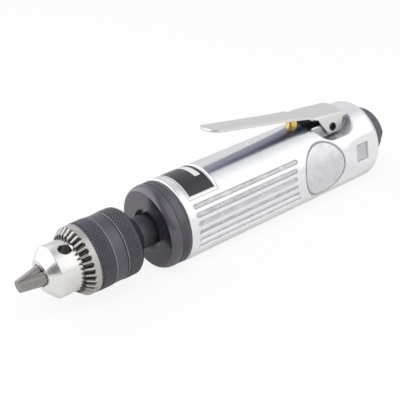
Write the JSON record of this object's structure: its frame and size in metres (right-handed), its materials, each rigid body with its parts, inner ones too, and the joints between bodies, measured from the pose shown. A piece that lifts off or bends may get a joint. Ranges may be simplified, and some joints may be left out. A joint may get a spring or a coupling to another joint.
{
  "type": "straight air drill",
  "caption": "Straight air drill with a keyed three-jaw chuck, a polished grooved barrel, a flat throttle lever on top and a threaded air inlet at the tail.",
  "frame": {"origin": "centre of the air inlet's mouth", "axes": "+X from the chuck towards the air inlet along the spindle, +Z towards the lever, +Y by the right-hand rule"},
  "size_m": [0.209, 0.04, 0.0553],
  "materials": {
    "polished_aluminium": "polished, slightly soft reflections",
    "label_black": "flat black",
    "black_gloss": "glossy black",
    "bearing_steel": "ground and polished",
    "cage_brass": "plain",
    "spring_steel": "dark, oiled",
    "gear_steel": "machined",
    "cast_iron": "machined faces",
    "vane_composite": "dull fibre composite",
    "gasket": "dull",
    "lever_steel": "satin",
    "pin_black": "black oxide",
    "brass": "turned",
    "seal_rubber": "dull",
    "black_oxide": "satin black oxide",
    "muffler_felt": "felt",
    "deflector_grey": "satin dark grey",
    "chuck_steel": "polished",
    "jaw_steel": "ground, darker"
  },
  "bodies": {
    "body": {"housing": "polished_aluminium", "label_plate": "label_black", "front_cap": "black_gloss", "spindle_bearing_outer": "bearing_steel", "bearing_circlip": "spring_steel", "ring_gear": "gear_steel", "front_end_plate": "cast_iron", "motor_front_bearing_outer": "bearing_steel", "cylinder_liner": "cast_iron", "rear_end_plate": "cast_iron", "motor_rear_bearing_outer": "bearing_steel", "motor_dowel": "gear_steel", "motor_gasket": "gasket", "lever_pin": "pin_black", "plunger_seal": "seal_rubber", "valve_seat": "brass", "valve_spring": "spring_steel", "valve_plug": "black_oxide", "inlet_bushing": "black_oxide", "inlet_screen": "gear_steel", "exhaust_muffler": "muffler_felt"},
    "spindle": {"spindle": "black_oxide", "planet_pins": "gear_steel", "carrier_plate": "gear_steel", "spindle_bearing_inner": "bearing_steel", "chuck_body": "chuck_steel"},
    "spindle_balls": {"spindle_bearing_balls": "bearing_steel", "spindle_bearing_cage": "cage_brass"},
    "planet_1": {"planet_gear_1": "gear_steel"},
    "planet_2": {"planet_gear_2": "gear_steel"},
    "planet_3": {"planet_gear_3": "gear_steel"},
    "rotor": {"rotor": "gear_steel", "rotor_vanes": "vane_composite", "motor_front_bearing_inner": "bearing_steel", "motor_rear_bearing_inner": "bearing_steel"},
    "motor_front_balls": {"motor_front_bearing_balls": "bearing_steel"},
    "motor_rear_balls": {"motor_rear_bearing_balls": "bearing_steel"},
    "sleeve": {"chuck_sleeve": "black_oxide", "chuck_gear_ring": "gear_steel", "chuck_nut": "gear_steel"},
    "jaw_1": {"chuck_jaw_1": "jaw_steel"},
    "jaw_2": {"chuck_jaw_2": "jaw_steel"},
    "jaw_3": {"chuck_jaw_3": "jaw_steel"},
    "lever": {"throttle_lever": "lever_steel"},
    "plunger": {"throttle_plunger": "brass", "valve_ball": "bearing_steel"},
    "deflector": {"exhaust_deflector": "deflector_grey"}
  },
  "joints": [
    {"name": "spindle_spin", "type": "hinge", "parent": "body", "child": "spindle", "pos_m": [0, 0, 0], "axis": [1, 0, 0], "continuous": true},
    {"name": "rotor_spin", "type": "hinge", "parent": "body", "child": "rotor", "pos_m": [0, 0, 0], "axis": [1, 0, 0], "continuous": true},
    {"name": "planet_1_spin", "type": "hinge", "parent": "spindle", "child": "planet_1", "pos_m": [-0.12, 0.00945, 0], "axis": [1, 0, 0], "continuous": true},
    {"name": "planet_2_spin", "type": "hinge", "parent": "spindle", "child": "planet_2", "pos_m": [-0.12, -0.00473, 0.00818], "axis": [1, 0, 0], "continuous": true},
    {"name": "planet_3_spin", "type": "hinge", "parent": "spindle", "child": "planet_3", "pos_m": [-0.12, -0.00473, -0.00818], "axis": [1, 0, 0], "continuous": true},
    {"name": "spindle_balls_spin", "type": "hinge", "parent": "body", "child": "spindle_balls", "pos_m": [0, 0, 0], "axis": [1, 0, 0], "continuous": true},
    {"name": "motor_front_balls_spin", "type": "hinge", "parent": "body", "child": "motor_front_balls", "pos_m": [0, 0, 0], "axis": [1, 0, 0], "continuous": true},
    {"name": "motor_rear_balls_spin", "type": "hinge", "parent": "body", "child": "motor_rear_balls", "pos_m": [0, 0, 0], "axis": [1, 0, 0], "continuous": true},
    {"name": "sleeve_turn", "type": "hinge", "parent": "spindle", "child": "sleeve", "pos_m": [0, 0, 0], "axis": [1, 0, 0], "range_deg": [0, 3880]},
    {"name": "jaw_1_slide", "type": "slide", "parent": "spindle", "child": "jaw_1", "axis": [0.9744, 0.1192, 0.1908], "range_m": [0, 0.01779]},
    {"name": "jaw_2_slide", "type": "slide", "parent": "spindle", "child": "jaw_2", "axis": [0.9744, 0.1056, -0.1986], "range_m": [0, 0.01779]},
    {"name": "jaw_3_slide", "type": "slide", "parent": "spindle", "child": "jaw_3", "axis": [0.9744, -0.2248, 0.0079], "range_m": [0, 0.01779]},
    {"name": "lever_press", "type": "hinge", "parent": "body", "child": "lever", "pos_m": [-0.0336, 0, 0.0155], "axis": [0, -1, 0], "range_deg": [0, 10.5], "stiffness_Nm_per_rad": 0.9, "springref_deg": -8.59},
    {"name": "plunger_slide", "type": "slide", "parent": "body", "child": "plunger", "axis": [0, 0, -1], "range_m": [0, 0.00307], "deforming": ["valve_spring"]},
    {"name": "deflector_turn", "type": "hinge", "parent": "body", "child": "deflector", "pos_m": [0, 0, 0], "axis": [1, 0, 0], "continuous": true}
  ],
  "couplings": [
    {"joint": "rotor_spin", "follows": "spindle_spin", "ratio": 4.5},
    {"joint": "planet_1_spin", "follows": "spindle_spin", "ratio": -2.8},
    {"joint": "planet_2_spin", "follows": "spindle_spin", "ratio": -2.8},
    {"joint": "planet_3_spin", "follows": "spindle_spin", "ratio": -2.8},
    {"joint": "spindle_balls_spin", "follows": "spindle_spin", "ratio": 0.4186},
    {"joint": "motor_front_balls_spin", "follows": "spindle_spin", "ratio": 1.8},
    {"joint": "motor_rear_balls_spin", "follows": "spindle_spin", "ratio": 1.8562},
    {"joint": "jaw_1_slide", "follows": "sleeve_turn", "m_per_rad": 0.0002613},
    {"joint": "jaw_2_slide", "follows": "sleeve_turn", "m_per_rad": 0.0002613},
    {"joint": "jaw_3_slide", "follows": "sleeve_turn", "m_per_rad": 0.0002613},
    {"joint": "plunger_slide", "follows": "lever_press", "m_per_rad": 0.0162}
  ]
}
